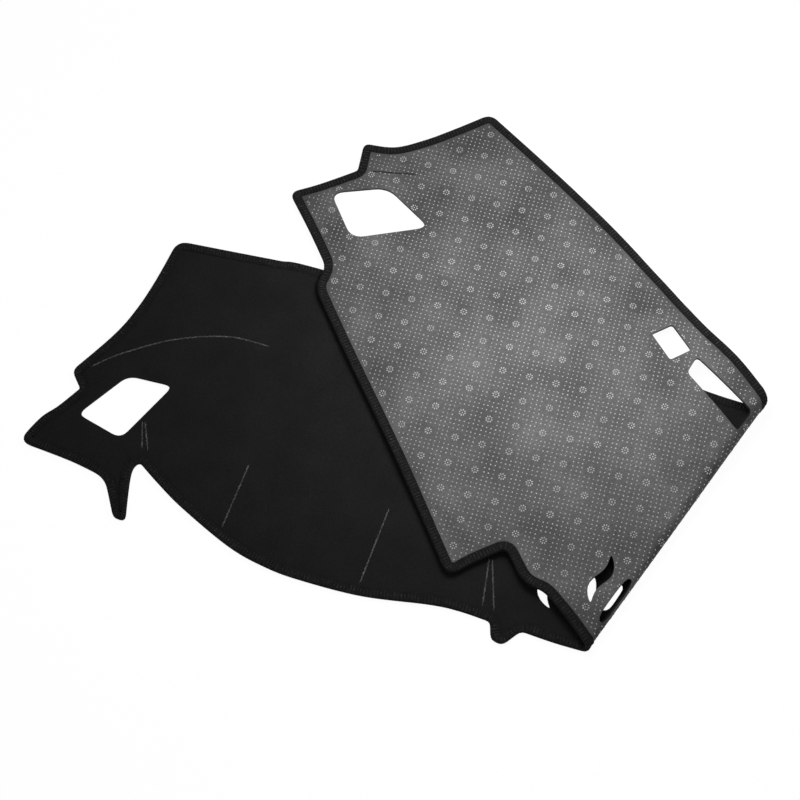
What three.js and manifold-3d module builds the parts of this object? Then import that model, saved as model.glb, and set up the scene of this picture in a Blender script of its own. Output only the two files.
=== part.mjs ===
// Dashboard cover mat: black needle felt on a grey anti-slip backing, with a bound edge.
// The mat is cut flat, then folded once, so its right half lies face down on its left half.
// Millimetres, +Z up. The pattern lies in its own plane: x runs along the dashboard from its
// middle, y is 0 at the windshield edge and grows towards the windshield.
import * as THREE from 'three';
import { mergeVertices } from 'three/addons/utils/BufferGeometryUtils.js';
import Module from 'manifold-3d';

// The layers, from the floor up on the half that lies face up.
const backingThickness = 0.8;
const bondGap = 0.3;
const feltThickness = 3.0;

// The binding tape that is sewn round the whole outer edge.
const tapeWidth = 11;
const tapeThickness = 0.8;
const tapeClearance = 0.5;
const tapeShareOfNarrowPart = 0.42;
const tapeShareOfCornerRadius = 0.72;
const tapeWidening = 0.6;
const tapeStep = 32;

// The fold: a slightly conical turn, tight at the front edge and looser at the windshield.
const foldStart = new THREE.Vector2(2, -365);
const foldAngle = THREE.MathUtils.degToRad(74.6);
const foldLength = 378;
const nearFoldRadius = 6;
const farFoldRadius = 14;
const foldSteps = 12;

// How the folded half comes to rest on the other half and on the floor beside it.
const layerClearance = 1.2;
const settleLength = 220;
const stepDownStart = 16;
const stepDownLength = 150;
const ridgeHeight = 8;
const ridgeCentre = new THREE.Vector2(-70, -30);
const ridgeHalfLength = 380;
const ridgeHalfWidth = 180;
const lieAngle = THREE.MathUtils.degToRad(-20);

// Sizes of the flat faces that the bent surfaces are cut into.
const cellSize = 38;
const settleCell = 32;
const edgeMargin = 9.5;

// The outer edge, clockwise from the windshield's left corner. Each stretch starts at a corner,
// which has a radius, and runs smoothly through its points to the next corner.
const edge = {
  windshieldLeft: {
    corner: [-676, -24],
    radius: 15,
    through: [
      [-600, -14], [-540, -6], [-482, 1], [-200, 8], [-60, 5], [60, 0.5], [143, 4.5], [200, 7.5],
      [255, 6], [300, 8], [353, 11], [423, 10], [492, 5.5], [580, -3.5],
    ],
  },
  windshieldRight: {
    corner: [691.5, -17.5],
    radius: 12,
    through: [[700.5, -71], [710, -115.5], [724.5, -155.5]],
  },
  rightNotchOuter: { corner: [753, -185.5], radius: 8, through: [] },
  rightNotchInner: { corner: [723, -217], radius: 4, through: [[735, -274]] },
  rightTip: { corner: [746, -312], radius: 12, through: [[679, -325]] },
  rightShoulder: { corner: [622, -338], radius: 12, through: [] },
  rightShoulderFoot: { corner: [604, -367], radius: 16, through: [[500, -390], [341, -423]] },
  hoodCorner: { corner: [181, -461], radius: 18, through: [[178, -426]] },
  hoodStep: { corner: [169, -381], radius: 9, through: [] },
  hoodStepFoot: { corner: [121, -391], radius: 16, through: [] },
  centreFront: { corner: [96, -376.5], radius: 16, through: [[40, -376], [-30, -380]] },
  tongueRight: { corner: [-77, -380], radius: 7, through: [] },
  tongueTipRight: { corner: [-93, -405], radius: 8, through: [] },
  tongueTipLeft: { corner: [-107.5, -402], radius: 8, through: [] },
  tongueLeft: {
    corner: [-115, -381.5],
    radius: 6,
    through: [
      [-155, -381.5], [-192, -386], [-274, -404], [-352, -410.5], [-398, -409.5], [-450, -400],
      [-523, -372.5], [-563, -353],
    ],
  },
  slit: { corner: [-598, -333.5], radius: 6, through: [[-602, -353]] },
  tabTipRight: { corner: [-584, -413.5], radius: 7, through: [] },
  tabTipLeft: { corner: [-599, -413], radius: 7, through: [] },
  tabLeft: { corner: [-630, -368], radius: 16, through: [[-680, -361.5]] },
  leftTip: { corner: [-752, -359], radius: 15, through: [[-739.5, -321], [-725.5, -299]] },
  leftNotchInner: { corner: [-709, -266], radius: 3, through: [] },
  leftNotchOuter: {
    corner: [-729, -246],
    radius: 8,
    through: [[-699.5, -181], [-687, -137.5], [-680, -88]],
  },
};
const stretchStep = 36;
const cornerSteps = 3;
const mostTrimmed = 0.9;

// The side vents are four-sided openings with round corners.
const leftSideVent = [[-660, -228], [-599, -222], [-633, -313], [-699, -300]];
const leftVentRadius = 13;
const rightSideVent = [[594, -190.5], [679, -199.5], [716, -267], [638.5, -287]];
const rightVentRadius = 18;

// The defroster slot and the light sensor's window sit along the windshield edge.
const defrosterSlot = [[130, -26], [232, -32], [221.5, -57], [121, -58.5]];
const defrosterRadius = 7;
const sensorCentre = new THREE.Vector2(269, -43);
const sensorWidth = 46;
const sensorDepth = 31;
const sensorTilt = THREE.MathUtils.degToRad(9);
const sensorRadius = 4;

// The centre vent slots come in mirrored pairs: a place, half a height, a lean and a sweep.
const outerSlot = { x: 69, y: -313, halfHeight: 28.5, lean: 0, sweep: 15, width: 13 };
const middleSlot = { x: 37, y: -315.5, halfHeight: 31.5, lean: 10, sweep: 0, width: 12 };
const innerSlot = { x: 13.5, y: -302, halfHeight: 20, lean: 5, sweep: 0, width: 14 };
const ventSlotSteps = 8;

// How close two points of the cut sheet may be and still be one.
const slabDepth = 1;
const mergeDistance = 1e-4;
const snap = 0.02;
const leastTurn = 1e-3;
const leastWidth = 1e-3;

// Dart seams show as narrow raised lines. Each is a width, a height and a run of points.
const seamWidth = 1.8;
const seamHeight = 0.6;
const seamClearance = 0.3;
const seamStep = 20;
const seamEndInset = 3;
const browSeam = [[-709, -233], [-680, -203], [-624, -161], [-559, -133], [-503, -128]];
const tabDartApex = [-615, -281];
const tabDartSpread = 8;
const frontDartNear = { x: -467, top: -290 };
const frontDartFar = { x: -281, top: -285 };
const centreDartApex = [-141, -305];
const centreDartFoot = { leftX: -131, rightX: -115 };
const notchSeamEnd = [672, -157];
const notchSeamInset = 14;

const wasm = await Module();
wasm.setup();

const sheetThickness = backingThickness + bondGap + feltThickness;
const tapeProud = tapeClearance + tapeThickness;
const foldDirection = new THREE.Vector2(Math.cos(foldAngle), Math.sin(foldAngle));
const coneSlope = (farFoldRadius - nearFoldRadius) / foldLength;
const foldApex = foldStart.clone().addScaledVector(foldDirection, -nearFoldRadius / coneSlope);
const foldSector = Math.PI * coneSlope;
const restHeight = tapeProud + 2 * sheetThickness + 2 * tapeProud + layerClearance;
const floorHeight = tapeProud + sheetThickness;

// A smooth step from 0 to 1.
function ease(t) {
  const s = THREE.MathUtils.clamp(t, 0, 1);
  return 0.5 - 0.5 * Math.cos(Math.PI * s);
}

// A low ridge where both halves ride over the hidden windshield edge.
function ridge(x, y) {
  const along = Math.abs(x - ridgeCentre.x) / ridgeHalfLength;
  const across = Math.abs(y - ridgeCentre.y) / ridgeHalfWidth;
  return ridgeHeight * (1 - ease(along)) * (1 - ease(across));
}

// A point of the pattern, at a height above the backing's underside, in the folded mat.
// The left half stays in the pattern's plane, the turn follows a cone whose radius grows with
// the distance from its apex, and the right half lies mirrored on top.
function place(x, y, height) {
  const offset = new THREE.Vector2(x, y).sub(foldApex);
  const reach = offset.length();
  const turn = foldAngle - Math.atan2(offset.y, offset.x);
  if (turn <= 0) {
    return layDown(x, y, tapeProud + height + ridge(x, y));
  }
  if (turn < foldSector) {
    const middleRadius = coneSlope * reach;
    const radius = middleRadius + sheetThickness / 2 - height;
    const bend = turn / coneSlope;
    const out = radius * Math.sin(bend);
    const px = foldApex.x + foldDirection.x * reach + foldDirection.y * out;
    const py = foldApex.y + foldDirection.y * reach - foldDirection.x * out;
    const z = tapeProud + middleRadius + sheetThickness / 2 - radius * Math.cos(bend);
    return layDown(px, py, z + ridge(px, py));
  }
  const back = foldAngle + turn - foldSector;
  const px = foldApex.x + Math.cos(back) * reach;
  const py = foldApex.y + Math.sin(back) * reach;
  const away = reach * Math.sin(turn - foldSector);
  const along = reach * Math.cos(turn - foldSector);
  const overFold = tapeProud + 2 * coneSlope * along + sheetThickness;
  const rest = restHeight + (floorHeight - restHeight) * ease((py - stepDownStart) / stepDownLength);
  const top = rest + (overFold - rest) * (1 - ease(away / settleLength));
  return layDown(px, py, top - height + ridge(px, py));
}

// The mat lies turned on the floor.
function layDown(x, y, z) {
  const c = Math.cos(lieAngle);
  const s = Math.sin(lieAngle);
  return new THREE.Vector3(x * c - y * s, x * s + y * c, z);
}

// Points along a smooth run through a list, about one step apart.
function smoothRun(points, step) {
  const curve = new THREE.SplineCurve(points.map(([x, y]) => new THREE.Vector2(x, y)));
  return curve.getSpacedPoints(Math.max(1, Math.round(curve.getLength() / step)));
}

// Cuts a length off the start of a run of points.
function trimStart(run, length) {
  let left = length;
  let i = 0;
  while (i < run.length - 2 && run[i].distanceTo(run[i + 1]) <= left) {
    left -= run[i].distanceTo(run[i + 1]);
    i += 1;
  }
  const share = Math.min(mostTrimmed, left / run[i].distanceTo(run[i + 1]));
  return [run[i].clone().lerp(run[i + 1], share), ...run.slice(i + 1)];
}

// Closes runs that meet at corners into one loop, with each corner rounded.
function roundedLoop(runs, radii) {
  const trimmed = runs.map((run, i) => {
    const ahead = trimStart(run, radii[i]).reverse();
    return trimStart(ahead, radii[(i + 1) % runs.length]).reverse();
  });
  const loop = [];
  trimmed.forEach((run, i) => {
    const before = trimmed[(i + trimmed.length - 1) % trimmed.length].at(-1);
    const bend = new THREE.QuadraticBezierCurve(before, runs[i][0], run[0]);
    loop.push(...bend.getPoints(cornerSteps).slice(1, -1), ...run);
  });
  return loop;
}

function edgeLoop() {
  const parts = Object.values(edge);
  const runs = parts.map((part, i) => {
    const next = parts[(i + 1) % parts.length];
    return smoothRun([part.corner, ...part.through, next.corner], stretchStep);
  });
  return roundedLoop(runs, parts.map((part) => part.radius));
}

function roundedPolygon(corners, radius) {
  const points = corners.map(([x, y]) => new THREE.Vector2(x, y));
  const runs = points.map((p, i) => [p, points[(i + 1) % points.length]]);
  return roundedLoop(runs, points.map(() => radius));
}

function sensorWindow() {
  const halves = [[-1, 1], [1, 1], [1, -1], [-1, -1]];
  const corners = halves.map(([sx, sy]) => {
    const p = new THREE.Vector2(sx * sensorWidth / 2, sy * sensorDepth / 2);
    return p.rotateAround(new THREE.Vector2(), sensorTilt).add(sensorCentre).toArray();
  });
  return roundedPolygon(corners, sensorRadius);
}

// One vent slot: its middle line leans and sweeps, and its sides close at both ends.
function ventSlot(slot, side) {
  const at = (t, edgeSide) => {
    const middle = slot.x + slot.lean * t + slot.sweep * t ** 3;
    const half = slot.width / 2 * Math.sqrt(1 - t ** 4);
    return new THREE.Vector2(side * (middle + edgeSide * half), slot.y + slot.halfHeight * t);
  };
  const loop = [];
  for (let i = 0; i < ventSlotSteps; i += 1) {
    loop.push(at(-Math.cos(Math.PI * i / ventSlotSteps), 1));
  }
  for (let i = 0; i < ventSlotSteps; i += 1) {
    loop.push(at(Math.cos(Math.PI * i / ventSlotSteps), -1));
  }
  return loop;
}

// The lines along which the flat sheet is cut into cells, each as a point and a normal.
function cellLines(loop) {
  const lines = [];
  for (let i = 0; i <= foldSteps; i += 1) {
    const angle = foldAngle - foldSector * i / foldSteps;
    lines.push({ point: foldApex, normal: new THREE.Vector2(-Math.sin(angle), Math.cos(angle)) });
  }
  const leftNormal = new THREE.Vector2(-foldDirection.y, foldDirection.x);
  const secondAngle = foldAngle - foldSector;
  const rightNormal = new THREE.Vector2(Math.sin(secondAngle), -Math.cos(secondAngle));
  const farthest = (normal, origin) => Math.max(...loop.map((p) => p.clone().sub(origin).dot(normal)));
  const rows = (normal, origin, stepAt) => {
    const end = farthest(normal, origin) - edgeMargin;
    for (let d = stepAt(0); d < end; d += stepAt(d)) {
      lines.push({ point: origin.clone().addScaledVector(normal, d), normal });
    }
  };
  rows(leftNormal, foldApex, () => cellSize);
  rows(rightNormal, foldApex, (d) => (d < settleLength ? settleCell : cellSize));
  rows(foldDirection, foldApex, () => cellSize);
  return lines;
}

// Cuts the flat sheet with manifold and returns its upper faces as points and triangles.
function meshFlatSheet(loop, holes) {
  const shape = new THREE.Shape(THREE.ShapeUtils.isClockWise(loop) ? [...loop].reverse() : loop);
  shape.holes = holes.map((hole) => new THREE.Path(hole));
  const slab = new THREE.ExtrudeGeometry(shape, { depth: slabDepth, bevelEnabled: false });
  slab.deleteAttribute('normal');
  slab.deleteAttribute('uv');
  const merged = mergeVertices(slab, mergeDistance);
  let pieces = [new wasm.Manifold(new wasm.Mesh({
    numProp: 3,
    vertProperties: merged.attributes.position.array,
    triVerts: new Uint32Array(merged.index.array),
  }))];
  for (const { point, normal } of cellLines(loop)) {
    const cut = pieces.map((piece) => piece.splitByPlane([normal.x, normal.y, 0], point.dot(normal)));
    pieces = cut.flat().filter((piece) => !piece.isEmpty());
  }
  return weldUpperFaces(pieces);
}

// Joins the upper faces of the cut pieces at their shared corners.
function weldUpperFaces(pieces) {
  const points = [];
  const buckets = new Map();
  const indexOf = (x, y) => {
    const bx = Math.round(x / snap);
    const by = Math.round(y / snap);
    for (let dx = -1; dx <= 1; dx += 1) {
      for (let dy = -1; dy <= 1; dy += 1) {
        const found = buckets.get(`${bx + dx},${by + dy}`);
        if (found !== undefined) {
          return found;
        }
      }
    }
    points.push(new THREE.Vector2(x, y));
    buckets.set(`${bx},${by}`, points.length - 1);
    return points.length - 1;
  };
  const triangles = [];
  for (const piece of pieces) {
    const { vertProperties: v, triVerts } = piece.getMesh();
    for (let t = 0; t < triVerts.length; t += 3) {
      const corners = [triVerts[t], triVerts[t + 1], triVerts[t + 2]];
      if (corners.every((c) => v[3 * c + 2] > slabDepth / 2)) {
        const [a, b, c] = corners.map((corner) => indexOf(v[3 * corner], v[3 * corner + 1]));
        if (a !== b && b !== c && c !== a) {
          triangles.push([a, b, c]);
        }
      }
    }
  }
  return { points, triangles: splitAtPoints(points, triangles) };
}

// Splits each triangle that has another triangle's corner on one of its sides.
function splitAtPoints(points, triangles) {
  const done = [];
  const waiting = [...triangles];
  while (waiting.length > 0) {
    const [a, b, c] = waiting.pop();
    const sides = [[a, b, c], [b, c, a], [c, a, b]];
    const tested = sides.map(([p, q, r]) => [p, q, r, pointOnSide(points, p, q)]);
    const hit = tested.find((side) => side[3] >= 0);
    if (hit) {
      const [p, q, r, between] = hit;
      if (between !== r) {
        waiting.push([p, between, r], [between, q, r]);
      }
    } else {
      done.push([a, b, c]);
    }
  }
  return done;
}

// The index of a point that lies on the side between two others, or -1.
function pointOnSide(points, from, to) {
  const a = points[from];
  const b = points[to];
  const length = a.distanceTo(b);
  return points.findIndex((p, i) => {
    if (i === from || i === to) {
      return false;
    }
    const along = ((p.x - a.x) * (b.x - a.x) + (p.y - a.y) * (b.y - a.y)) / length;
    if (along < snap || along > length - snap) {
      return false;
    }
    const aside = Math.abs((p.x - a.x) * (b.y - a.y) - (p.y - a.y) * (b.x - a.x)) / length;
    return aside < snap;
  });
}

// The edges that only one triangle uses, in the triangle's own order.
function openEdges(triangles) {
  const seen = new Set();
  triangles.forEach(([a, b, c]) => {
    [[a, b], [b, c], [c, a]].forEach(([p, q]) => seen.add(`${p},${q}`));
  });
  const open = [];
  seen.forEach((key) => {
    const [p, q] = key.split(',').map(Number);
    if (!seen.has(`${q},${p}`)) {
      open.push([p, q]);
    }
  });
  return open;
}

function solidFrom(positions, index) {
  const geometry = new THREE.BufferGeometry();
  geometry.setAttribute('position', new THREE.Float32BufferAttribute(positions, 3));
  geometry.setIndex(index);
  geometry.computeVertexNormals();
  return geometry;
}

// One layer of the sheet between two heights, folded.
function layerSolid(sheet, low, high) {
  const positions = [];
  for (const height of [low, high]) {
    sheet.points.forEach((p) => positions.push(...place(p.x, p.y, height).toArray()));
  }
  const n = sheet.points.length;
  const index = [];
  sheet.triangles.forEach(([a, b, c]) => index.push(a + n, b + n, c + n, a, c, b));
  openEdges(sheet.triangles).forEach(([a, b]) => index.push(a, b, b + n, a, b + n, a + n));
  return solidFrom(positions, index);
}

// A closed section carried along a run, folded with the sheet. Each station is the section's
// points there, as x, y and height. A four-sided face is cut along its shorter diagonal.
function sweepSolid(stations, closed) {
  const ringSize = stations[0].length;
  const corners = stations.flat().map((p) => place(...p));
  const positions = corners.flatMap((p) => p.toArray());
  const count = stations.length;
  const index = [];
  for (let i = 0; i < (closed ? count : count - 1); i += 1) {
    const next = (i + 1) % count;
    for (let j = 0; j < ringSize; j += 1) {
      const k = (j + 1) % ringSize;
      const a = i * ringSize + j;
      const b = i * ringSize + k;
      const c = next * ringSize + k;
      const d = next * ringSize + j;
      const acrossAc = corners[a].distanceTo(corners[c]) < corners[b].distanceTo(corners[d]);
      index.push(...(acrossAc ? [a, b, c, a, c, d] : [a, b, d, b, c, d]));
    }
  }
  if (!closed) {
    for (let j = 1; j < ringSize - 1; j += 1) {
      const last = (count - 1) * ringSize;
      index.push(0, j + 1, j, last, last + j, last + j + 1);
    }
  }
  return solidFrom(positions, index);
}

// Adds points to a loop where the mat turns, so that the tape follows the fold.
function refineLoop(loop, step) {
  const refined = [];
  loop.forEach((p, i) => {
    const q = loop[(i + 1) % loop.length];
    const turnAt = (r) => foldAngle - Math.atan2(r.y - foldApex.y, r.x - foldApex.x);
    const inFold = Math.max(turnAt(p), turnAt(q)) > 0 && Math.min(turnAt(p), turnAt(q)) < foldSector;
    const turns = Math.abs(turnAt(q) - turnAt(p)) / foldSector * foldSteps;
    const parts = inFold ? Math.ceil(turns) : Math.ceil(p.distanceTo(q) / step);
    for (let j = 0; j < Math.max(1, parts); j += 1) {
      refined.push(p.clone().lerp(q, j / Math.max(1, parts)));
    }
  });
  return refined;
}

// How far it is across the sheet from a point of its edge, straight inwards.
function widthAcross(loop, index, inward) {
  const p = loop[index];
  let nearest = Infinity;
  loop.forEach((a, i) => {
    const b = loop[(i + 1) % loop.length];
    if (i === index || (i + 1) % loop.length === index) {
      return;
    }
    const side = b.clone().sub(a);
    const cross = inward.cross(side);
    if (cross === 0) {
      return;
    }
    const gap = a.clone().sub(p);
    const along = gap.cross(side) / cross;
    const share = gap.cross(inward) / cross;
    if (along > leastWidth && share >= 0 && share <= 1) {
      nearest = Math.min(nearest, along);
    }
  });
  return nearest;
}

// The tape's width at each point: full where there is room, less on tips and narrow tabs.
function tapeWidths(loop, inwards) {
  const n = loop.length;
  const room = loop.map((p, i) => {
    const across = widthAcross(loop, i, inwards[i]);
    const before = inwards[(i + n - 1) % n];
    const after = inwards[(i + 1) % n];
    const length = loop[(i + n - 1) % n].distanceTo(p) + p.distanceTo(loop[(i + 1) % n]);
    const closing = before.cross(after) < 0 ? Math.abs(before.angleTo(after)) : 0;
    const radius = closing > leastTurn ? length / closing : Infinity;
    return Math.min(tapeWidth, across * tapeShareOfNarrowPart, radius * tapeShareOfCornerRadius);
  });
  return room.map((w, i) => {
    let least = w;
    for (let j = 0; j < n; j += 1) {
      const gap = loop[i].distanceTo(loop[j]);
      least = Math.min(least, room[j] + gap * tapeWidening);
    }
    return least;
  });
}

function edgeBinding(loop) {
  const n = loop.length;
  const inwards = loop.map((p, i) => {
    const before = p.clone().sub(loop[(i + n - 1) % n]).normalize();
    const after = loop[(i + 1) % n].clone().sub(p).normalize();
    const along = before.add(after).normalize();
    return new THREE.Vector2(along.y, -along.x);
  });
  const widths = tapeWidths(loop, inwards);
  const under = -tapeProud;
  const over = sheetThickness + tapeProud;
  const stations = loop.map((p, i) => {
    const w = widths[i];
    const section = [
      [w, over], [w, over - tapeThickness], [-tapeClearance, over - tapeThickness],
      [-tapeClearance, under + tapeThickness], [w, under + tapeThickness], [w, under],
      [-tapeProud, under], [-tapeProud, over],
    ];
    return section.map(([side, height]) => [p.x + inwards[i].x * side, p.y + inwards[i].y * side, height]);
  });
  return sweepSolid(stations, true);
}

// A raised seam line on the face, or on the backing when it is turned over.
function seamLine(points, onBacking) {
  const run = smoothRun(points, seamStep);
  const half = seamWidth / 2;
  const stations = run.map((p, i) => {
    const along = run[Math.min(i + 1, run.length - 1)].clone().sub(run[Math.max(i - 1, 0)]).normalize();
    const base = onBacking ? -seamClearance : sheetThickness + seamClearance;
    const rise = onBacking ? -seamHeight : seamHeight;
    const section = [[-half, 0], [-half / 2, 1], [half / 2, 1], [half, 0]];
    const ordered = onBacking ? section.reverse() : section;
    return ordered.map(([side, up]) => [p.x + along.y * side, p.y - along.x * side, base + rise * up]);
  });
  return sweepSolid(stations, false);
}

// The front edge's y on the left half at a given x, just inside the binding.
function insideFrontEdge(loop, x) {
  const low = [];
  loop.forEach((a, i) => {
    const b = loop[(i + 1) % loop.length];
    if ((a.x - x) * (b.x - x) <= 0 && a.x !== b.x) {
      low.push(THREE.MathUtils.lerp(a.y, b.y, (x - a.x) / (b.x - a.x)));
    }
  });
  return Math.min(...low) + tapeWidth + seamEndInset;
}

const felt = new THREE.MeshStandardMaterial({ color: 0x1a1a1c, roughness: 0.97, metalness: 0 });
const backing = new THREE.MeshStandardMaterial({ color: 0x686868, roughness: 0.9, metalness: 0 });
const tape = new THREE.MeshStandardMaterial({ color: 0x141414, roughness: 0.95, metalness: 0 });
const thread = new THREE.MeshStandardMaterial({ color: 0x38383a, roughness: 0.9, metalness: 0 });

const outline = edgeLoop();
const cutOuts = [
  roundedPolygon(leftSideVent, leftVentRadius),
  roundedPolygon(rightSideVent, rightVentRadius),
  roundedPolygon(defrosterSlot, defrosterRadius),
  sensorWindow(),
  ...[outerSlot, middleSlot, innerSlot].flatMap((slot) => [ventSlot(slot, -1), ventSlot(slot, 1)]),
];
const sheet = meshFlatSheet(outline, cutOuts);

const mat = new THREE.Group();

function addPiece(name, geometry, material) {
  const piece = new THREE.Mesh(geometry, material);
  piece.name = name;
  mat.add(piece);
}

addPiece('felt_face', layerSolid(sheet, backingThickness + bondGap, sheetThickness), felt);
addPiece('anti_slip_backing', layerSolid(sheet, 0, backingThickness), backing);
addPiece('edge_binding', edgeBinding(refineLoop(outline, tapeStep)), tape);

const slitFoot = [edge.slit.corner[0], edge.slit.corner[1] + tapeWidth + seamEndInset];
const tongueFoot = insideFrontEdge(outline, centreDartFoot.leftX);
addPiece('brow_seam', seamLine(browSeam), thread);
[-1, 1].forEach((side) => {
  const foot = [slitFoot[0] + side * tabDartSpread / 2, slitFoot[1]];
  const apex = [tabDartApex[0] + side * seamWidth, tabDartApex[1]];
  addPiece(`tab_dart_seam_${side < 0 ? 'left' : 'right'}`, seamLine([apex, foot]), thread);
});
[['front_dart_seam_near', frontDartNear], ['front_dart_seam_far', frontDartFar]].forEach(([name, dart]) => {
  addPiece(name, seamLine([[dart.x, dart.top], [dart.x, insideFrontEdge(outline, dart.x)]]), thread);
});
[['left', -1, centreDartFoot.leftX], ['right', 1, centreDartFoot.rightX]].forEach(([name, side, footX]) => {
  const apex = [centreDartApex[0] + side * seamWidth, centreDartApex[1]];
  addPiece(`centre_dart_seam_${name}`, seamLine([apex, [footX, tongueFoot]]), thread);
});
const notchInner = new THREE.Vector2(...edge.rightNotchInner.corner);
const notchSeamRun = new THREE.Vector2(...notchSeamEnd).sub(notchInner);
const notchSeamStart = notchInner.clone().add(notchSeamRun.clone().setLength(notchSeamInset));
addPiece('notch_seam', seamLine([notchSeamStart.toArray(), notchSeamEnd], true), thread);

// The origin is the middle of the footprint, on the floor.
const box = new THREE.Box3().setFromObject(mat);
mat.position.set(-(box.min.x + box.max.x) / 2, -(box.min.y + box.max.y) / 2, 0);

export default mat;
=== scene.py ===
import math

import bpy
import numpy as np
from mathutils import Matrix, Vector
from mathutils.geometry import delaunay_2d_cdt


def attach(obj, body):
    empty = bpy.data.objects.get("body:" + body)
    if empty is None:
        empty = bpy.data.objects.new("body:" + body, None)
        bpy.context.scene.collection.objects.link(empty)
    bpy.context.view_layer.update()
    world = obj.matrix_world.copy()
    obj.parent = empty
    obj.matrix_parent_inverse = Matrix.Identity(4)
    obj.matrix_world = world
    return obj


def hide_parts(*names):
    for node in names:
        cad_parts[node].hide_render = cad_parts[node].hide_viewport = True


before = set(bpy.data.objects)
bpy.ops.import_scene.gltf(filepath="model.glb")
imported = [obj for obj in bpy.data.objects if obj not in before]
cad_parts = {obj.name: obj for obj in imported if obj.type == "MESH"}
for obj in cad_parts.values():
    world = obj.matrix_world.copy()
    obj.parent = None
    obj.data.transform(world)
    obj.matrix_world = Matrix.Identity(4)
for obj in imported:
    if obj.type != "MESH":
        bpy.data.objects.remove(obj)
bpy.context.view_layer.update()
print("frame loaded")

# The camera stands in front of the mat and looks down on it.
view = {"target": (0.0053, -0.0452, 0.0), "distance": 2.4178, "elevation": 65, "lens": 85}

cameraData = bpy.data.cameras.new("photoCamera")
cameraData.lens = view["lens"]
cameraData.sensor_width = 36
camera = bpy.data.objects.new("photoCamera", cameraData)
elevation = math.radians(view["elevation"])
camera.location = (
    view["target"][0],
    view["target"][1] - view["distance"] * math.cos(elevation),
    view["target"][2] + view["distance"] * math.sin(elevation),
)
camera.rotation_euler = (math.pi / 2 - elevation, 0, 0)
bpy.context.scene.collection.objects.link(camera)
bpy.context.scene.camera = camera
bpy.context.scene.view_settings.view_transform = "Standard"

# The sheet, in millimetres: felt on a backing, cut flat, then folded once and laid down.
sheet = {
    "feltLow": 1.1,
    "top": 4.1,
    "backingTop": 1.08,
    "tapeProud": 1.3,
    "cell": 5.0,
    "foldCell": 2.6,
    "coarseFrom": 5.0,              # from the fold, where the coarse lattice starts
    "fineTo": 4.0,                  # from the fold, where the fine one ends
    "edgeStep": 3.5,
    "leastGap": 0.55,               # from a loop to the lattice, in edge steps
    "holeReach": 90,                # more than half of any cut-out
    "middle": (-353.721, 23.618),   # of the laid mat's footprint
}
fold = {
    "start": (2.0, -365.0),
    "angle": math.radians(74.6),
    "length": 378.0,
    "nearRadius": 6.0,
    "farRadius": 14.0,
    "restHeight": 13.3,
    "floorHeight": 5.4,
    "stepDownStart": 16.0,
    "stepDownLength": 150.0,
    "settleLength": 220.0,
    "lieAngle": math.radians(-20),
}
ridge = {"height": 8.0, "centre": (-70.0, -30.0), "halfLength": 380.0, "halfWidth": 180.0}

foldDirection = np.array([math.cos(fold["angle"]), math.sin(fold["angle"])])
coneSlope = (fold["farRadius"] - fold["nearRadius"]) / fold["length"]
foldApex = np.array(fold["start"]) - foldDirection * fold["nearRadius"] / coneSlope
foldSector = math.pi * coneSlope


def ease(t):
    # half a cosine wave, from 0 to 1
    return 0.5 - 0.5 * np.cos(np.pi * np.clip(t, 0, 1))


def ridgeHeight(x, y):
    # two eased slopes multiplied, highest at the ridge's centre
    along = np.abs(x - ridge["centre"][0]) / ridge["halfLength"]
    across = np.abs(y - ridge["centre"][1]) / ridge["halfWidth"]
    return ridge["height"] * (1 - ease(along)) * (1 - ease(across))


def place(points, height):
    # Left of the fold a point keeps its place, in the fold it turns round a cone whose radius
    # grows from the apex, and right of it it lies mirrored on top. Then the mat is turned.
    points = np.asarray(points, float)
    height = np.broadcast_to(np.asarray(height, float), points.shape[:-1])
    x, y = points[..., 0], points[..., 1]
    dx, dy = x - foldApex[0], y - foldApex[1]
    reach = np.hypot(dx, dy)
    turn = fold["angle"] - np.arctan2(dy, dx)

    flatZ = sheet["tapeProud"] + height

    middleRadius = coneSlope * reach
    radius = middleRadius + sheet["top"] / 2 - height
    bend = np.clip(turn, 0, foldSector) / coneSlope
    out = radius * np.sin(bend)
    bentX = foldApex[0] + foldDirection[0] * reach + foldDirection[1] * out
    bentY = foldApex[1] + foldDirection[1] * reach - foldDirection[0] * out
    bentZ = sheet["tapeProud"] + middleRadius + sheet["top"] / 2 - radius * np.cos(bend)

    back = fold["angle"] + turn - foldSector
    overX = foldApex[0] + np.cos(back) * reach
    overY = foldApex[1] + np.sin(back) * reach
    away = reach * np.sin(turn - foldSector)
    along = reach * np.cos(turn - foldSector)
    overFold = sheet["tapeProud"] + 2 * coneSlope * along + sheet["top"]
    stepDown = ease((overY - fold["stepDownStart"]) / fold["stepDownLength"])
    rest = fold["restHeight"] + (fold["floorHeight"] - fold["restHeight"]) * stepDown
    overTop = rest + (overFold - rest) * (1 - ease(away / fold["settleLength"]))
    overZ = overTop - height

    onFlat, onTop = turn <= 0, turn >= foldSector
    laidX = np.where(onFlat, x, np.where(onTop, overX, bentX))
    laidY = np.where(onFlat, y, np.where(onTop, overY, bentY))
    laidZ = np.where(onFlat, flatZ, np.where(onTop, overZ, bentZ)) + ridgeHeight(laidX, laidY)
    laidZ = laidZ + np.where(onTop, 1.0, 0.0) * pucker(laidX, laidY)
    c, s = math.cos(fold["lieAngle"]), math.sin(fold["lieAngle"])
    turned = np.stack([laidX * c - laidY * s, laidX * s + laidY * c, laidZ], axis=-1)
    return (turned - np.array([*sheet["middle"], 0.0])) / 1000


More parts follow.
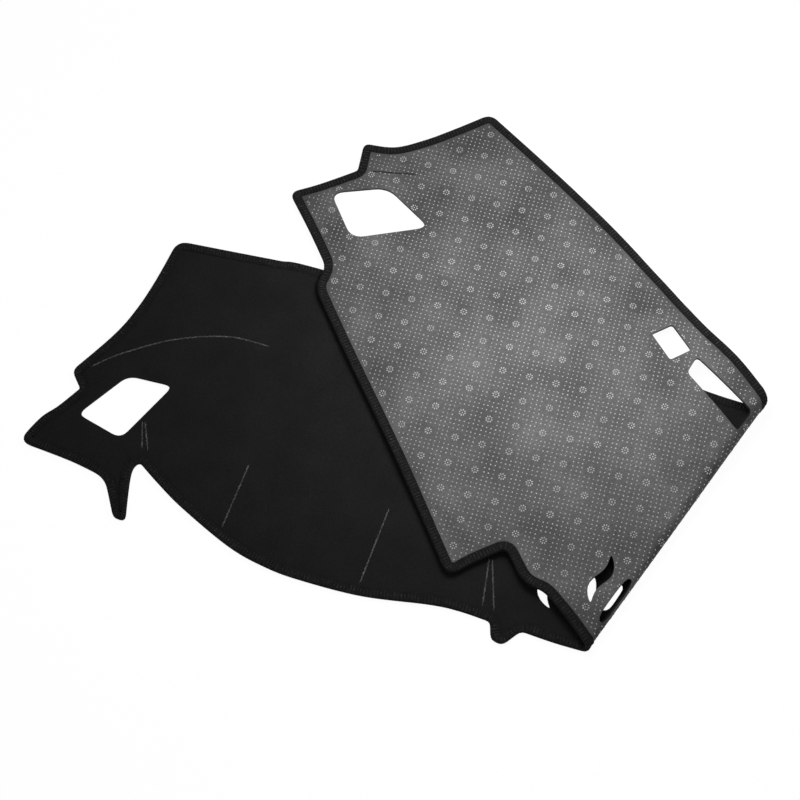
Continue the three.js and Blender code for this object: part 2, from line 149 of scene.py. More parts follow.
# Soft waves and creases of the half that is folded over, in the laid plane: from, to, width, rise.
puckers = {
    "frontCrease": [(-228, -262), (-168, -292), 9, 1.6],
    "frontCreaseFold": [(-236, -250), (-178, -278), 13, 1.1],
    "sideWave": [(-420, 20), (-330, -40), 60, 2.2],
    "middleWave": [(-300, -120), (-200, -90), 55, 2.4],
    "lowerWave": [(-275, -215), (-215, -150), 40, 2.0],
    "farWave": [(-300, 120), (-200, 70), 60, 2.0],
    "foldWave": [(-90, -200), (-40, -120), 50, 2.0],
    "endPleat": [(-470, 168), (-405, 182), 7, 0.9],
}


def pucker(x, y):
    # each is a bell across its line that fades out past both ends
    total = np.zeros_like(x)
    for start, end, width, rise in puckers.values():
        line = np.array(end, float) - np.array(start, float)
        length = np.hypot(*line)
        line /= length
        along = (x - start[0]) * line[0] + (y - start[1]) * line[1]
        across = (x - start[0]) * line[1] - (y - start[1]) * line[0]
        past = np.maximum(0, np.abs(along - length / 2) - length / 2)
        total = total + rise * np.exp(-(across / width) ** 2 - (past / width) ** 2)
    return total


# The outer edge, clockwise from the windshield's left corner: corner, radius, points to the next.
outerEdge = [
    [(-676, -24), 15, [
        (-600, -14), (-540, -6), (-482, 1), (-200, 8), (-60, 5), (60, 0.5), (143, 4.5), (200, 7.5),
        (255, 6), (300, 8), (353, 11), (423, 10), (492, 5.5), (580, -3.5),
    ]],
    [(691.5, -17.5), 12, [(700.5, -71), (710, -115.5), (724.5, -155.5)]],
    [(753, -185.5), 8, []],
    [(723, -217), 4, [(735, -274)]],
    [(746, -312), 12, [(679, -325)]],
    [(622, -338), 12, []],
    [(604, -367), 16, [(500, -390), (341, -423)]],
    [(181, -461), 18, [(178, -426)]],
    [(169, -381), 9, []],
    [(121, -391), 16, []],
    [(96, -376.5), 16, [(40, -376), (-30, -380)]],
    [(-77, -380), 7, []],
    [(-93, -405), 8, []],
    [(-107.5, -402), 8, []],
    [(-115, -381.5), 6, [
        (-155, -381.5), (-192, -386), (-274, -404), (-352, -410.5), (-398, -409.5), (-450, -400),
        (-523, -372.5), (-563, -353),
    ]],
    [(-598, -333.5), 6, [(-602, -353)]],
    [(-584, -413.5), 7, []],
    [(-599, -413), 7, []],
    [(-630, -368), 16, [(-680, -361.5)]],
    [(-752, -359), 15, [(-739.5, -321), (-725.5, -299)]],
    [(-709, -266), 3, []],
    [(-729, -246), 8, [(-699.5, -181), (-687, -137.5), (-680, -88)]],
]
cutOuts = {
    "leftSideVent": [[(-660, -228), (-599, -222), (-633, -313), (-699, -300)], 13],
    "rightSideVent": [[(594, -190.5), (679, -199.5), (716, -267), (638.5, -287)], 18],
    "defroster": [[(130, -26), (232, -32), (221.5, -57), (121, -58.5)], 7],
    "sensor": [[(243.9, -31.3), (289.3, -24.1), (294.1, -54.7), (248.7, -61.9)], 4],
}
ventSlots = {   # mirrored pairs: x, y, half height, lean, sweep, width
    "outer": (69, -313, 28.5, 0, 15, 13),
    "middle": (37, -315.5, 31.5, 10, 0, 12),
    "inner": (13.5, -302, 20, 5, 0, 14),
}


def smoothRun(points, step):
    # a Catmull-Rom curve through the points, resampled at even steps of its length
    points = np.array(points, float)
    last = len(points) - 1
    t = np.linspace(0, last, 60 * last + 1)
    i = np.minimum(t.astype(int), last - 1)
    w = (t - i)[:, None]
    p0, p1 = points[np.maximum(i - 1, 0)], points[i]
    p2, p3 = points[i + 1], points[np.minimum(i + 2, last)]
    v0, v1 = (p2 - p0) / 2, (p3 - p1) / 2
    fine = (2 * p1 - 2 * p2 + v0 + v1) * w**3 + (3 * p2 - 3 * p1 - 2 * v0 - v1) * w**2 + v0 * w + p1
    length = np.concatenate([[0], np.cumsum(np.hypot(*np.diff(fine, axis=0).T))])
    even = np.linspace(0, length[-1], max(2, round(length[-1] / step) + 1))
    return np.stack([np.interp(even, length, fine[:, 0]), np.interp(even, length, fine[:, 1])], axis=1)


def trimStart(run, amount):
    # the run without its first stretch of that length
    length = np.concatenate([[0], np.cumsum(np.hypot(*np.diff(run, axis=0).T))])
    amount = min(amount, 0.48 * length[-1])
    first = [np.interp(amount, length, run[:, 0]), np.interp(amount, length, run[:, 1])]
    return np.vstack([first, run[length > amount + 0.05]])


def roundedLoop(runs, radii, arcSteps=6):
    # each corner is a parabola between the ends of the trimmed runs
    trimmed = []
    for i, run in enumerate(runs):
        fromEnd = trimStart(run, radii[i])[::-1]
        trimmed.append(trimStart(fromEnd, radii[(i + 1) % len(runs)])[::-1])
    t = np.linspace(0, 1, arcSteps + 1)[1:-1, None]
    pieces = []
    for i, run in enumerate(trimmed):
        before, corner, after = trimmed[i - 1][-1], runs[i][0], run[0]
        pieces += [(1 - t) ** 2 * before + 2 * t * (1 - t) * corner + t**2 * after, run]
    return np.vstack(pieces)


def evenLoop(loop, step):
    # the same closed loop at even steps
    closed = np.vstack([loop, loop[:1]])
    length = np.concatenate([[0], np.cumsum(np.hypot(*np.diff(closed, axis=0).T))])
    even = np.linspace(0, length[-1], round(length[-1] / step) + 1)[:-1]
    return np.stack([np.interp(even, length, closed[:, 0]), np.interp(even, length, closed[:, 1])], axis=1)


def outlineLoop(step):
    corners = [part[0] for part in outerEdge]
    runs = [
        smoothRun([corner, *through, corners[(i + 1) % len(corners)]], step)
        for i, (corner, _, through) in enumerate(outerEdge)
    ]
    return roundedLoop(runs, [part[1] for part in outerEdge])


def polygonLoop(corners, radius, step):
    runs = [smoothRun([corner, corners[(i + 1) % len(corners)]], step) for i, corner in enumerate(corners)]
    return roundedLoop(runs, [radius] * len(corners))


def slotLoop(slot, side, steps=14):
    # a leaning, sweeping middle line whose two sides close at both ends
    x, y, halfHeight, lean, sweep, width = slot
    angle = np.pi * np.arange(steps) / steps
    t = np.concatenate([-np.cos(angle), np.cos(angle)])
    edgeSide = np.repeat([1, -1], steps)
    middle = x + lean * t + sweep * t**3
    half = width / 2 * np.sqrt(np.maximum(0, 1 - t**4))
    return np.stack([side * (middle + edgeSide * half), y + halfHeight * t], axis=1)


def insideLoop(points, loop):
    # counts how many sides a ray to the right crosses
    a, b = loop, np.roll(loop, -1, axis=0)
    inside = np.zeros(len(points), bool)
    for start, end in zip(a, b):
        crosses = (start[1] > points[:, 1]) != (end[1] > points[:, 1])
        atX = start[0] + (points[:, 1] - start[1]) * (end[0] - start[0]) / (end[1] - start[1] + 1e-12)
        inside ^= crosses & (points[:, 0] < atX)
    return inside


def nearestGap(points, loop):
    # the distance from each point to the nearest side of a loop
    a, side = loop, np.roll(loop, -1, axis=0) - loop
    nearest = np.full(len(points), np.inf)
    for start, run in zip(a, side):
        share = np.clip(((points - start) @ run) / (run @ run + 1e-12), 0, 1)
        nearest = np.minimum(nearest, np.hypot(*(points - start - share[:, None] * run).T))
    return nearest


outline = outlineLoop(sheet["edgeStep"])
holes = [polygonLoop(corners, radius, sheet["edgeStep"]) for corners, radius in cutOuts.values()]
holes += [slotLoop(slot, side) for slot in ventSlots.values() for side in (-1, 1)]


def latticePoints(cell):
    # rows of a triangular lattice over the whole pattern
    low, high = outline.min(axis=0), outline.max(axis=0)
    rows = np.arange(low[1], high[1], cell * math.sqrt(3) / 2)
    columns = np.arange(low[0], high[0], cell)
    x = columns[None, :] + (np.arange(len(rows)) % 2)[:, None] * cell / 2
    y = np.repeat(rows[:, None], len(columns), axis=1)
    return np.stack([x.ravel(), y.ravel()], axis=1)


def inFoldBand(points, margin):
    # within the part that turns, or a margin of it
    offset = points - foldApex
    reach = np.hypot(*offset.T)
    turn = fold["angle"] - np.arctan2(offset[:, 1], offset[:, 0])
    return (turn * reach > -margin) & ((turn - foldSector) * reach < margin)


def patternMesh():
    # fills the outline with triangles, and leaves the cut-outs open
    coarse, fine = latticePoints(sheet["cell"]), latticePoints(sheet["foldCell"])
    outsideFold = ~inFoldBand(coarse, sheet["coarseFrom"])
    points = np.vstack([coarse[outsideFold], fine[inFoldBand(fine, sheet["fineTo"])]])
    points = points[insideLoop(points, outline)]
    for hole in holes:
        near = (np.abs(points - hole.mean(axis=0)) < sheet["holeReach"]).all(axis=1)
        inHole = np.zeros(len(points), bool)
        inHole[near] = insideLoop(points[near], hole)
        points = points[~inHole]
    least = sheet["leastGap"] * sheet["edgeStep"]
    clear = nearestGap(points, outline) > least
    for hole in holes:
        clear &= nearestGap(points, hole) > least
    points = points[clear]
    loops = [outline, *holes]
    starts = np.cumsum([0] + [len(loop) for loop in loops])
    edges = [
        (int(start + i), int(start + (i + 1) % len(loop)))
        for start, loop in zip(starts, loops)
        for i in range(len(loop))
    ]
    everything = np.vstack([*loops, points])
    found = delaunay_2d_cdt([Vector(p) for p in everything.tolist()], edges, [], 0, 1e-5)
    flat = np.array([tuple(p) for p in found[0]])
    triangles = np.array(found[2])
    middles = flat[triangles].mean(axis=1)
    kept = insideLoop(middles, outline)
    for hole in holes:
        kept &= ~insideLoop(middles, hole)
    triangles = triangles[kept]
    a, b, c = flat[triangles[:, 0]], flat[triangles[:, 1]], flat[triangles[:, 2]]
    area = (b[:, 0] - a[:, 0]) * (c[:, 1] - a[:, 1]) - (b[:, 1] - a[:, 1]) * (c[:, 0] - a[:, 0])
    triangles[area < 0] = triangles[area < 0][:, ::-1]
    used, triangles = np.unique(triangles, return_inverse=True)
    return flat[used], triangles.reshape(-1, 3)


def openSides(triangles):
    # the sides that only one triangle has, in that triangle's order
    sides = np.concatenate([triangles[:, [0, 1]], triangles[:, [1, 2]], triangles[:, [2, 0]]])
    count = int(triangles.max()) + 1
    key, back = sides[:, 0] * count + sides[:, 1], sides[:, 1] * count + sides[:, 0]
    return sides[~np.isin(key, back)]


def gridFaces(rows, columns, closed):
    # four-sided faces between neighbouring rows of points, where each row closes on itself
    i, j = np.meshgrid(np.arange(rows if closed else rows - 1), np.arange(columns), indexing="ij")
    n, k = (i + 1) % rows, (j + 1) % columns
    corners = [i * columns + j, i * columns + k, n * columns + k, n * columns + j]
    return np.stack(corners, axis=-1).reshape(-1, 4)


def makeMesh(name, points, faces, patternPlace, sharp=38):
    # puts whole arrays into a mesh: corners, three- or four-sided faces and the flat place
    mesh = bpy.data.meshes.new(name)
    sides = faces.shape[1]
    mesh.vertices.add(len(points))
    mesh.vertices.foreach_set("co", np.ascontiguousarray(points, np.float32).ravel())
    mesh.loops.add(faces.size)
    mesh.loops.foreach_set("vertex_index", np.ascontiguousarray(faces, np.int32).ravel())
    mesh.polygons.add(len(faces))
    mesh.polygons.foreach_set("loop_start", np.arange(0, faces.size, sides, dtype=np.int32))
    mesh.update(calc_edges=True)
    mesh.validate()
    flat = mesh.attributes.new("flatPlace", "FLOAT_VECTOR", "POINT")
    flat.data.foreach_set("vector", np.ascontiguousarray(patternPlace, np.float32).ravel())
    mesh.shade_smooth()
    mesh.set_sharp_from_angle(angle=math.radians(sharp))
    piece = bpy.data.objects.new(name, mesh)
    bpy.context.scene.collection.objects.link(piece)
    return piece


def layer(name, flat, triangles, low, high):
    # one closed layer of the sheet between two heights
    count = len(flat)
    rim = openSides(triangles)
    faces = np.vstack([
        triangles + count,
        triangles[:, ::-1],
        np.stack([rim[:, 0], rim[:, 1], rim[:, 1] + count], axis=1),
        np.stack([rim[:, 0], rim[:, 1] + count, rim[:, 0] + count], axis=1),
    ])
    points = np.vstack([place(flat, low), place(flat, high)])
    flatPlace = np.vstack([np.column_stack([flat, np.full(count, h)]) for h in (low, high)]) / 1000
    return makeMesh(name, points, faces, flatPlace)


flat, triangles = patternMesh()
print("pattern", len(flat), "points", len(triangles), "triangles")
felt = layer("feltSheet", flat, triangles, sheet["feltLow"], sheet["top"])
backing = layer("gripBacking", flat, triangles, 0.0, sheet["backingTop"])
print("felt and backing folded")

# Raised grip dots: a fine square grid. At every sixth step, nine dots give way to a ring of petals
# round a single dot.
grip = {
    "pitch": 5.83,
    "angle": math.radians(51),
    "ringEvery": 6,
    "dotRadius": 0.92,
    "dotRise": 0.5,
    "ringRadius": 3.7,
    "petals": 8,
    "petalLength": 1.35,
    "petalWidth": 0.82,
    "petalRise": 0.6,
    "petalTurn": 0.2,
    "dotSizes": (0.82, 1.12),
    "petalSizes": (0.9, 1.1),
    "reach": 900,                   # of the grid, each way from its offset
    "offset": (467.0, -281.0),
    "edgeMargin": 13.5,
    "holeMargin": 1.6,
    "jitter": 0.35,
}
dome = {"sides": 5, "sunk": 0.04, "shoulder": 0.68, "shoulderRise": 0.74}


def domes(name, centres, longAxis, halfLength, halfWidth, rise):
    # five-sided domes: a rim, a shoulder and a top, each corner folded with the sheet
    sides = dome["sides"]
    angle = 2 * np.pi * np.arange(sides) / sides
    ring = np.stack([np.cos(angle), np.sin(angle)], axis=1)
    across = np.stack([-longAxis[:, 1], longAxis[:, 0]], axis=1)

    def loopAt(scale):
        return (
            centres[:, None]
            + longAxis[:, None] * (ring[:, 0] * scale)[None, :, None] * halfLength[:, None, None]
            + across[:, None] * (ring[:, 1] * scale)[None, :, None] * halfWidth[:, None, None]
        )

    pattern = np.concatenate([loopAt(1.0), loopAt(dome["shoulder"]), centres[:, None]], axis=1)
    rim, shoulder = np.full(sides, dome["sunk"]), np.full(sides, -dome["shoulderRise"] * rise)
    height = np.concatenate([rim, shoulder, [-rise]])
    heights = np.broadcast_to(height, pattern.shape[:2])
    k = np.arange(sides)
    n = (k + 1) % sides
    band = np.stack([k, k + sides, n + sides, n], axis=1)
    quads = np.vstack([band[:, [0, 1, 2]], band[:, [0, 2, 3]]])
    cap = np.stack([k + sides, np.full(sides, 2 * sides), n + sides], axis=1)
    one = np.vstack([quads, cap])
    faces = (one[None] + (np.arange(len(centres)) * (2 * sides + 1))[:, None, None]).reshape(-1, 3)
    points = place(pattern, heights).reshape(-1, 3)
    flatPlace = np.concatenate([pattern, heights[..., None]], axis=-1).reshape(-1, 3) / 1000
    return makeMesh(name, points, faces, flatPlace, sharp=80)


def clearOfEdges(points):
    # on the backing, inside the tape and off the cut-outs
    kept = insideLoop(points, outline)
    kept[kept] = nearestGap(points[kept], outline) > grip["edgeMargin"]
    for hole in holes:
        near = (np.abs(points - hole.mean(axis=0)) < sheet["holeReach"]).all(axis=1) & kept
        ok = ~insideLoop(points[near], hole) & (nearestGap(points[near], hole) > grip["holeMargin"])
        kept[near] = ok
    return kept


def gripLattice():
    # whole steps of the grid, as steps and as places
    reach = int(grip["reach"] / grip["pitch"])
    i, j = np.meshgrid(np.arange(-reach, reach), np.arange(-reach, reach), indexing="ij")
    i, j = i.ravel(), j.ravel()
    c, s = math.cos(grip["angle"]), math.sin(grip["angle"])
    x = grip["offset"][0] + grip["pitch"] * (i * c - j * s)
    y = grip["offset"][1] + grip["pitch"] * (i * s + j * c)
    return i, j, np.stack([x, y], axis=1)


rng = np.random.default_rng(7)
stepI, stepJ, spots = gripLattice()
inBox = (spots > outline.min(axis=0)).all(axis=1) & (spots < outline.max(axis=0)).all(axis=1)
stepI, stepJ, spots = stepI[inBox], stepJ[inBox], spots[inBox]
awayI = np.abs((stepI + 2) % grip["ringEvery"] - 2)
awayJ = np.abs((stepJ + 2) % grip["ringEvery"] - 2)
isRing = (awayI == 0) & (awayJ == 0)
isDot = (awayI > 1) | (awayJ > 1) | isRing

dots = spots[isDot]
dots = dots + rng.uniform(-grip["jitter"], grip["jitter"], dots.shape)
dots = dots[clearOfEdges(dots)]
dotSize = grip["dotRadius"] * rng.uniform(*grip["dotSizes"], len(dots))
dotAxis = np.tile([1.0, 0.0], (len(dots), 1))
gripDots = domes("gripDots", dots, dotAxis, dotSize, dotSize, grip["dotRise"])

ringCentres = spots[isRing]
petalAngle = 2 * np.pi * np.arange(grip["petals"]) / grip["petals"] + grip["petalTurn"]
petalAxis = np.stack([np.cos(petalAngle), np.sin(petalAngle)], axis=1)
petals = (ringCentres[:, None] + petalAxis[None] * grip["ringRadius"]).reshape(-1, 2)
petalAxes = np.tile(petalAxis, (len(ringCentres), 1))
onBacking = clearOfEdges(petals)
petals, petalAxes = petals[onBacking], petalAxes[onBacking]
petalSize = rng.uniform(*grip["petalSizes"], len(petals))
petalLengths, petalWidths = grip["petalLength"] * petalSize, grip["petalWidth"] * petalSize
gripRings = domes("gripRings", petals, petalAxes, petalLengths, petalWidths, grip["petalRise"])
print("grip dots", len(dots), "petals", len(petals))

# The edge: a tape folded round the rim, sewn over with a thick zigzag thread.
binding = {
    "width": 11.0,
    "shareOfNarrowPart": 0.42,
    "shareOfCornerRadius": 0.72,
    "widening": 0.6,
    "step": 3.0,
    "inner": 0.45,
    "outer": 0.85,
    "rimRadius": 2.1,
    "sectionSteps": 5,              # along the face, and again round the rim
    "threadOffset": 0.8,
    "threadRadius": 0.42,
    "threadPitch": 4.2,
    "threadSteps": 7,
    "threadSides": 4,
    "threadInset": 0.4,             # from the tape's inner edge
    "threadUneven": 0.12,
}


def inwardDirections(loop):
    # square to the loop's own direction, towards the sheet
    before = loop - np.roll(loop, 1, axis=0)
    after = np.roll(loop, -1, axis=0) - loop
    before /= np.hypot(*before.T)[:, None]
    after /= np.hypot(*after.T)[:, None]
    along = before + after
    along /= np.hypot(*along.T)[:, None]
    return np.stack([along[:, 1], -along[:, 0]], axis=1)


def bindingWidths(loop, inward):
    # full width where there is room, less on tips and narrow tabs, easing between them
    count = len(loop)
    side = np.roll(loop, -1, axis=0) - loop
    cross = inward[:, None, 0] * side[None, :, 1] - inward[:, None, 1] * side[None, :, 0]
    cross = np.where(np.abs(cross) < 1e-9, 1e-9, cross)
    gap = loop[None] - loop[:, None]
    reach = (gap[..., 0] * side[None, :, 1] - gap[..., 1] * side[None, :, 0]) / cross
    share = (gap[..., 0] * inward[:, None, 1] - gap[..., 1] * inward[:, None, 0]) / cross
    index = np.arange(count)
    apart = np.abs(index[:, None] - index[None])
    apart = np.minimum(apart, count - apart)
    hits = (reach > 0.01) & (share >= 0) & (share <= 1) & (apart > 1)
    across = np.where(hits, reach, np.inf).min(axis=1)
    before, after = np.roll(inward, 3, axis=0), np.roll(inward, -3, axis=0)
    closing = -(before[:, 0] * after[:, 1] - before[:, 1] * after[:, 0])
    stretch = 6 * binding["step"]
    radius = np.where(closing > 1e-3, stretch / np.maximum(closing, 1e-3), np.inf)
    room = np.minimum(binding["width"], across * binding["shareOfNarrowPart"])
    room = np.minimum(room, radius * binding["shareOfCornerRadius"])
    distance = np.hypot(gap[..., 0], gap[..., 1])
    return (room[None, :] + distance * binding["widening"]).min(axis=1)


def rimSection(offset, width):
    # from the tape's inner edge on the face, round the rim, to its inner edge on the backing:
    # sideways distance from the outline and height, for each station's width
    top = sheet["top"] + offset
    r = binding["rimRadius"] - (binding["outer"] - offset)
    steps = binding["sectionSteps"]
    angle = np.linspace(0, np.pi / 2, steps)
    arcSide = (r - offset) - r * np.sin(angle)
    arcHeight = top - r + r * np.cos(angle)
    share = np.linspace(1, 0, steps)[:-1]
    faceSide = (r - offset) + (width[:, None] - (r - offset)) * share[None]
    upperSide = np.concatenate([faceSide, np.tile(arcSide, (len(width), 1))], axis=1)
    upperHeight = np.concatenate([np.full(steps - 1, top), arcHeight])
    side = np.concatenate([upperSide, upperSide[:, ::-1]], axis=1)
    height = np.concatenate([upperHeight, sheet["top"] - upperHeight[::-1]])
    return side, np.tile(height, (len(width), 1))


rimLoop = evenLoop(outline, binding["step"])
inward = inwardDirections(rimLoop)
widths = bindingWidths(rimLoop, inward)
outerSide, outerHeight = rimSection(binding["outer"], widths)
innerSide, innerHeight = rimSection(binding["inner"], widths)
sectionSide = np.concatenate([outerSide, innerSide[:, ::-1]], axis=1)
sectionHeight = np.concatenate([outerHeight, innerHeight[:, ::-1]], axis=1)
bandFlat = rimLoop[:, None] + inward[:, None] * sectionSide[..., None]
stations, around = sectionSide.shape
bandFaces = gridFaces(stations, around, closed=True)
bandPlace = np.concatenate([bandFlat, sectionHeight[..., None]], axis=-1).reshape(-1, 3) / 1000
edgeBinding = makeMesh("edgeBinding", place(bandFlat, sectionHeight).reshape(-1, 3), bandFaces, bandPlace)
print("edge binding", stations, "stations, narrowest", round(float(widths.min()), 2))


def tube(centre, outward, radius, sides):
    # a round section carried along a closed path, with its first corner pointing outward
    along = np.roll(centre, -1, axis=0) - np.roll(centre, 1, axis=0)
    along /= np.linalg.norm(along, axis=1)[:, None]
    outward = outward - (outward * along).sum(axis=1)[:, None] * along
    outward /= np.linalg.norm(outward, axis=1)[:, None]
    across = np.cross(along, outward)
    angle = 2 * np.pi * np.arange(sides) / sides
    ring = outward[:, None] * np.cos(angle)[None, :, None] + across[:, None] * np.sin(angle)[None, :, None]
    points = centre[:, None] + ring * radius[:, None, None]
    return points.reshape(-1, 3), gridFaces(len(centre), sides, closed=True)


def overlock():
    # the thread goes round the rim from the face's inner edge to the backing's and back again
    length = binding["step"] * stations
    turns = round(length / binding["threadPitch"])
    steps = binding["threadSteps"]
    t = np.arange(turns * 2 * steps) / (2 * steps)         # whole turns
    swing = 1 - 2 * np.abs(2 * (t % 1) - 1)                 # from the backing to the face and back
    at = t / turns * stations
    low = np.floor(at).astype(int) % stations
    share = (at - np.floor(at))[:, None]
    high = (low + 1) % stations
    base = rimLoop[low] * (1 - share) + rimLoop[high] * share
    into = inward[low] * (1 - share) + inward[high] * share
    into /= np.hypot(*into.T)[:, None]
    wide = widths[low] * (1 - share[:, 0]) + widths[high] * share[:, 0]

    def onSection(offset):
        side, height = rimSection(offset, wide - binding["threadInset"])
        count = side.shape[1]
        position = (1 - swing) / 2 * (count - 1)
        k = np.minimum(position.astype(int), count - 2)
        w = position - k
        rows = np.arange(len(side))
        s = side[rows, k] * (1 - w) + side[rows, k + 1] * w
        h = height[rows, k] * (1 - w) + height[rows, k + 1] * w
        return base + into * s[:, None], h

    centreFlat, centreHeight = onSection(binding["threadOffset"])
    outFlat, outHeight = onSection(binding["threadOffset"] + 0.5)
    centre, outer = place(centreFlat, centreHeight), place(outFlat, outHeight)
    thick = binding["threadRadius"] * (1 + binding["threadUneven"] * np.sin(37.0 * t)) / 1000
    sides = binding["threadSides"]
    points, faces = tube(centre, outer - centre, thick, sides)
    flatPlace = np.repeat(np.column_stack([centreFlat, centreHeight]), sides, axis=0) / 1000
    return makeMesh("overlockThread", points, faces, flatPlace, sharp=120)


overlockThread = overlock()
print("overlock thread", len(overlockThread.data.polygons), "faces")

# Dart seams: a low welt with a row of stitches.
seams = {
    "brow_seam": [(-709, -233), (-680, -203), (-624, -161), (-559, -133), (-503, -128)],
    "tab_dart_seam_left": [(-616.8, -281), (-602, -317)],
    "tab_dart_seam_right": [(-613.2, -281), (-594, -317)],
    "front_dart_seam_near": [(-467, -290), (-467, -381.5)],
    "front_dart_seam_far": [(-281, -285), (-281, -391)],
    "centre_dart_seam_left": [(-142.8, -305), (-130.5, -368)],
    "centre_dart_seam_right": [(-139.2, -305), (-115.5, -368)],
    "notch_seam": [(713.5, -205.5), (672, -157)],
}
seamForm = {
    "width": 2.0,
    "rise": 0.85,
    "stitch": 3.2,
    "step": 0.8,
    "lowShare": 0.62,               # of the rise, between two stitches
    "fade": 4.0,
    "thinEnd": 0.15,
    "wander": 0.25,
    "sunk": 0.02,
}


def seam(name, points, onBacking):
    # a half-round welt whose height dips between stitches and runs out at both ends
    run = smoothRun(points, seamForm["step"])
    along = np.gradient(run, axis=0)
    along /= np.hypot(*along.T)[:, None]
    aside = np.stack([along[:, 1], -along[:, 0]], axis=1)
    s = np.arange(len(run)) * seamForm["step"]
    ends = np.clip(np.minimum(s, s[-1] - s) / seamForm["fade"], seamForm["thinEnd"], 1)
    low = seamForm["lowShare"]
    dip = low + (1 - low) * np.abs(np.sin(np.pi * s / seamForm["stitch"])) ** 0.6
    angle = np.linspace(0, np.pi, 7)
    wide = seamForm["width"] / 2 * (0.75 + 0.25 * dip) * ends
    wander = seamForm["wander"] * np.sin(2 * np.pi * s / (2 * seamForm["stitch"]))
    side = wide[:, None] * np.cos(angle)[None] + wander[:, None]
    lift = (seamForm["rise"] * dip * ends)[:, None] * np.sin(angle)[None]
    flatPoints = run[:, None] + aside[:, None] * side[..., None]
    heights = seamForm["sunk"] - lift if onBacking else sheet["top"] - seamForm["sunk"] + lift
    if onBacking:
        flatPoints, heights = flatPoints[:, ::-1], heights[:, ::-1]
    faces = gridFaces(*lift.shape, closed=False)
    flatPlace = np.concatenate([flatPoints, heights[..., None]], axis=-1).reshape(-1, 3) / 1000
    return makeMesh(name, place(flatPoints, heights).reshape(-1, 3), faces, flatPlace, sharp=70)


seamPieces = {
    node: seam(node.replace("_seam", "Stitches").replace("_", ""), points, node == "notch_seam")
    for node, points in seams.items()
}
print("seams", len(seamPieces))


# Shared effect: matted fibres, as light and dark flecks and a height. On the overlock yarn the light
# flecks are partly painted highlights.
def fibreGroup():
    group = bpy.data.node_groups.new("mattedFibres", "ShaderNodeTree")
    socket = group.interface.new_socket
    socket("Fibre Size", in_out="INPUT", socket_type="NodeSocketFloat")
    socket("Blotch Size", in_out="INPUT", socket_type="NodeSocketFloat")
    socket("Stretch", in_out="INPUT", socket_type="NodeSocketVector")
    socket("Fleck", in_out="OUTPUT", socket_type="NodeSocketFloat")
    socket("Blotch", in_out="OUTPUT", socket_type="NodeSocketFloat")
    socket("Height", in_out="OUTPUT", socket_type="NodeSocketFloat")
    nodes, links = group.nodes, group.links
    given, out = nodes.new("NodeGroupInput"), nodes.new("NodeGroupOutput")
    flatAt = nodes.new("ShaderNodeAttribute")
    flatAt.attribute_name = "flatPlace"
    stretched = nodes.new("ShaderNodeVectorMath")
    stretched.operation = "MULTIPLY"
    links.new(flatAt.outputs["Vector"], stretched.inputs[0])
    links.new(given.outputs["Stretch"], stretched.inputs[1])

    fibre = nodes.new("ShaderNodeTexNoise")
    fibre.inputs["Detail"].default_value = 4
    fibre.inputs["Roughness"].default_value = 0.65
    fibre.inputs["Distortion"].default_value = 1.2
    links.new(stretched.outputs[0], fibre.inputs["Vector"])
    links.new(given.outputs["Fibre Size"], fibre.inputs["Scale"])

    blotch = nodes.new("ShaderNodeTexNoise")
    blotch.inputs["Detail"].default_value = 3
    links.new(flatAt.outputs["Vector"], blotch.inputs["Vector"])
    links.new(given.outputs["Blotch Size"], blotch.inputs["Scale"])

    pits = nodes.new("ShaderNodeTexVoronoi")
    pits.feature = "F1"
    links.new(stretched.outputs[0], pits.inputs["Vector"])
    links.new(given.outputs["Fibre Size"], pits.inputs["Scale"])

    height = nodes.new("ShaderNodeMath")
    height.operation = "MULTIPLY_ADD"
    height.inputs[1].default_value = 0.4
    links.new(pits.outputs["Distance"], height.inputs[0])
    links.new(fibre.outputs["Fac"], height.inputs[2])

    links.new(fibre.outputs["Fac"], out.inputs["Fleck"])
    links.new(blotch.outputs["Fac"], out.inputs["Blotch"])
    links.new(height.outputs[0], out.inputs["Height"])
    return group


mattedFibres = fibreGroup()


